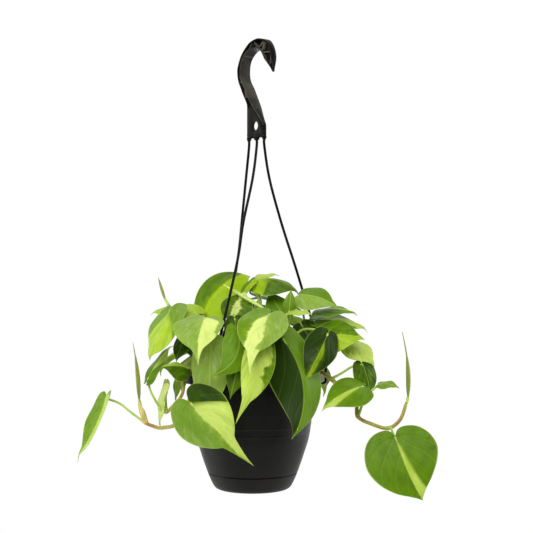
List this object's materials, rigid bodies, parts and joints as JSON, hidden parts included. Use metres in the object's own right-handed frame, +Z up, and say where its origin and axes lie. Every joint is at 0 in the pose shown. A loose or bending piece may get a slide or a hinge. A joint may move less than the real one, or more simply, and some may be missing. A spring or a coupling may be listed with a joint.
{
  "type": "potted brasil philodendron",
  "caption": "Trailing heart-leaf philodendron with yellow-green variegation, in a black plastic hanging pot with saucer, soil and moulded hook hanger.",
  "frame": {"origin": "the seat of the hanging hook, the top of its inner curve where a bar or ceiling hook bears", "axes": "+Z up as it hangs, -Y the side that the picture shows, +X to the right in the picture"},
  "size_m": [0.3874, 0.2609, 0.502],
  "materials": {
    "black_plastic": "satin injection-moulded polypropylene, near black",
    "potting_mix": "dark fibrous peat and bark mix",
    "foliage": "satin leaves, green with yellow-green flames, on brown to green stems"
  },
  "bodies": {
    "root": {"pot": "black_plastic", "saucer": "black_plastic", "soil": "potting_mix", "hook": "black_plastic", "strand_right": "black_plastic", "strand_front": "black_plastic", "strand_back": "black_plastic", "vine_front": "foliage", "vine_front_left": "foliage", "vine_left": "foliage", "vine_trail_left": "foliage", "vine_mid_left": "foliage", "vine_front_right": "foliage", "vine_right": "foliage", "vine_trail_right": "foliage", "vine_top": "foliage", "vine_back_right": "foliage", "vine_back": "foliage", "vine_back_left": "foliage", "vine_trail_back": "foliage"}
  },
  "joints": []
}
